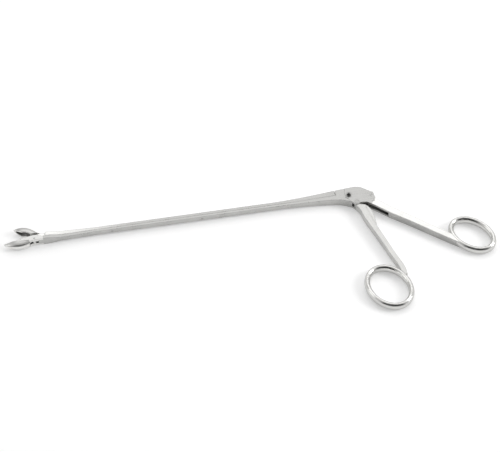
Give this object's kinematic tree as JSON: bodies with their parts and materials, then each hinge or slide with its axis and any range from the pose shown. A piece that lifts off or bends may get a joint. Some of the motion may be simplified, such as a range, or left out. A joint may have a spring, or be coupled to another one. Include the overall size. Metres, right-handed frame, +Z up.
{
  "type": "biopsy forceps",
  "caption": "Ring-handled biopsy forceps: squeezing the front handle pushes a sliding bar that shuts a hinged cutting cup on a fixed lower cup.",
  "frame": {"origin": "centre of the main pivot pin's end, on the flat lower face of the joint", "axes": "+X back along the shaft towards the handles, +Y towards the sliding bar's side, +Z up along every hinge axis, square to the flat side the instrument lies on"},
  "size_m": [0.2988, 0.0979, 0.0064],
  "materials": {
    "satin_steel": "satin",
    "slide_steel": "satin",
    "jaw_steel": "satin",
    "polished_steel": "polished",
    "pin_steel": "ground"
  },
  "bodies": {
    "frame": {"fixed_shaft": "satin_steel", "fixed_jaw": "jaw_steel", "rear_shank": "satin_steel", "rear_ring": "polished_steel", "main_pivot_pin": "pin_steel", "jaw_pivot_pin": "pin_steel", "tang_pins": "pin_steel", "guide_studs": "pin_steel"},
    "front_handle": {"front_shank": "satin_steel", "front_ring": "polished_steel"},
    "slide": {"slide_bar": "slide_steel", "slide_drive_pin": "pin_steel", "jaw_drive_pin": "pin_steel"},
    "upper_jaw": {"upper_jaw": "jaw_steel"}
  },
  "joints": [
    {"name": "front_handle_hinge", "type": "hinge", "parent": "frame", "child": "front_handle", "pos_m": [0, 0, 0.0032], "axis": [0, 0, 1], "range_deg": [0, 17]},
    {"name": "slide_travel", "type": "slide", "parent": "frame", "child": "slide", "axis": [-1, 0, 0], "range_m": [0, 0.00175]},
    {"name": "upper_jaw_hinge", "type": "hinge", "parent": "frame", "child": "upper_jaw", "pos_m": [-0.2006, 0.0061, 0.0032], "axis": [0, 0, 1], "range_deg": [0, 38]}
  ],
  "couplings": [
    {"joint": "slide_travel", "follows": "front_handle_hinge", "m_per_rad": 0.0059},
    {"joint": "upper_jaw_hinge", "follows": "front_handle_hinge", "ratio": 2.2353}
  ]
}
